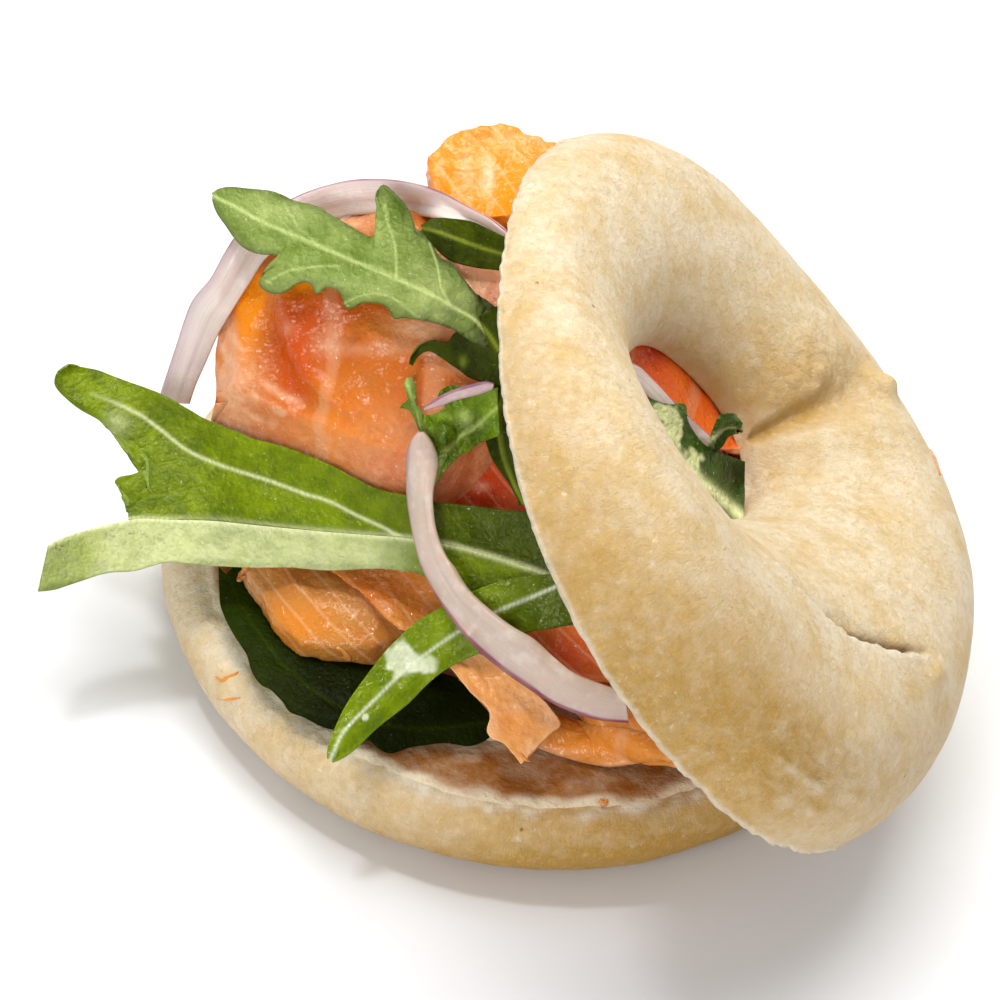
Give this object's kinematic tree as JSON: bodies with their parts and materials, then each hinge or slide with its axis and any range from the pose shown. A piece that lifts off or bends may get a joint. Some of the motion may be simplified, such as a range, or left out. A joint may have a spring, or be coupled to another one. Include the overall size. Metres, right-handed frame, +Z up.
{
  "type": "smoked salmon bagel",
  "caption": "Open filled bagel: smoked salmon, rocket leaves, red onion and soft cheese on the lower half, with the upper half leaning on the filling.",
  "frame": {"origin": "middle of the bounding box at the level of the table", "axes": "+Z up, -Y towards the viewer, +X towards the side on which the upper half leans down"},
  "size_m": [0.138, 0.1282, 0.0928],
  "materials": {
    "crust": "dry baked crust, pale gold",
    "cream": "soft cheese, faint sheen",
    "salmon": "wet smoked fish",
    "salmon_red": "wet smoked fish, deep red",
    "salmon_pink": "wet smoked fish, pink",
    "salmon_gold": "wet smoked fish, gold",
    "onion": "raw onion, translucent",
    "leaf_green": "fresh leaf, slight gloss",
    "leaf_dark": "fresh leaf, dark",
    "leaf_pale": "under side of a leaf, dull"
  },
  "bodies": {
    "root": {"bottom_bun": "crust", "cream_cheese": "cream", "leaf_cluster": "leaf_green", "leaf_curl": "leaf_green", "leaf_dark_side": "leaf_dark", "leaf_dark_under": "leaf_dark", "leaf_front": "leaf_green", "leaf_hole": "leaf_green", "leaf_hook": "leaf_dark", "leaf_left": "leaf_green", "leaf_oblong": "leaf_dark", "leaf_upper": "leaf_pale", "onion_bit": "onion", "onion_front": "onion", "onion_hole": "onion", "onion_large": "onion", "salmon_back_pink": "salmon_pink", "salmon_hole": "salmon_red", "salmon_inner_high": "salmon_red", "salmon_inner_low": "salmon_red", "salmon_inner_mid": "salmon_red", "salmon_lower_left": "salmon", "salmon_lower_right": "salmon", "salmon_main": "salmon", "salmon_tab": "salmon", "salmon_top_back": "salmon_gold", "sprig": "leaf_green", "top_bun": "crust"}
  },
  "joints": []
}
